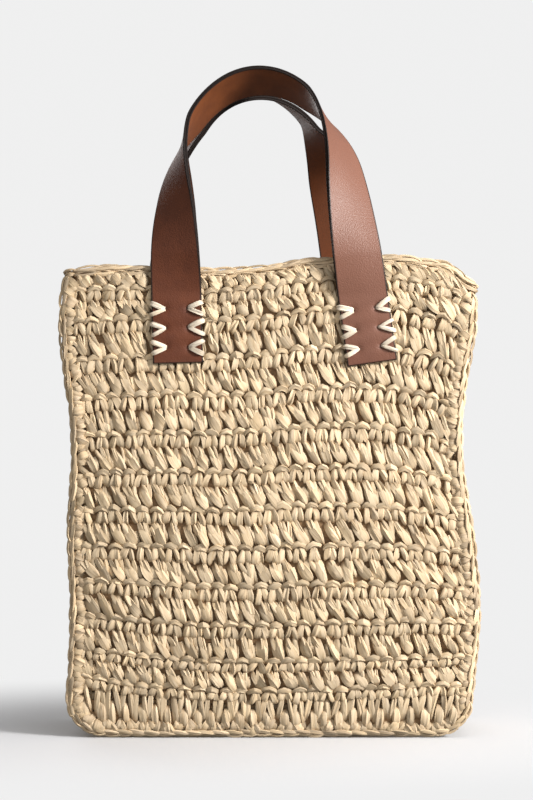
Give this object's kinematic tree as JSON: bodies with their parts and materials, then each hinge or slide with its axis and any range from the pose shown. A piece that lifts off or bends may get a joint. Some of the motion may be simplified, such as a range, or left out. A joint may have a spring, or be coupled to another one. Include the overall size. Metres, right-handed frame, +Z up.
{
  "type": "beach tote bag",
  "caption": "Tall crocheted raffia beach tote with an open top and flat twisted leather strap handles sewn to the front and back with raffia stitches.",
  "frame": {"origin": "middle of the bag's footprint, on the ground", "axes": "+X to the right seen from the front, +Y to the back (the front panel faces -Y), +Z up"},
  "size_m": [0.334, 0.1362, 0.5392],
  "materials": {
    "raffia": "matt crocheted paper raffia",
    "raffia_edging": "matt chain-stitched paper raffia",
    "pale_thread": "pale raffia strand",
    "grain_leather": "smooth brown grain leather, satin, with black painted edges",
    "tan_leather": "tan lining leather, satin"
  },
  "bodies": {
    "bag": {"front_panel": "raffia", "back_panel": "raffia", "left_gusset": "raffia", "right_gusset": "raffia", "base_panel": "raffia", "front_seam": "raffia_edging", "back_seam": "raffia_edging", "rim_edging": "raffia_edging", "front_left_stitches": "pale_thread", "front_right_stitches": "pale_thread", "back_left_stitches": "pale_thread", "back_right_stitches": "pale_thread", "front_left_end_outer_ply": "grain_leather", "front_right_end_outer_ply": "grain_leather", "back_left_end_outer_ply": "grain_leather", "back_right_end_outer_ply": "grain_leather", "front_left_end_inner_ply": "tan_leather", "front_right_end_inner_ply": "tan_leather", "back_left_end_inner_ply": "tan_leather", "back_right_end_inner_ply": "tan_leather"},
    "front_handle": {"front_handle_outer_ply": "grain_leather", "front_handle_inner_ply": "tan_leather"},
    "back_handle": {"back_handle_outer_ply": "grain_leather", "back_handle_inner_ply": "tan_leather"}
  },
  "joints": [
    {"name": "front_handle_fold", "type": "hinge", "parent": "bag", "child": "front_handle", "pos_m": [0, -0.054, 0.35415], "axis": [1, 0, 0], "range_deg": [0, 150]},
    {"name": "back_handle_fold", "type": "hinge", "parent": "bag", "child": "back_handle", "pos_m": [0, 0.054, 0.35415], "axis": [-1, 0, 0], "range_deg": [0, 150]}
  ]
}
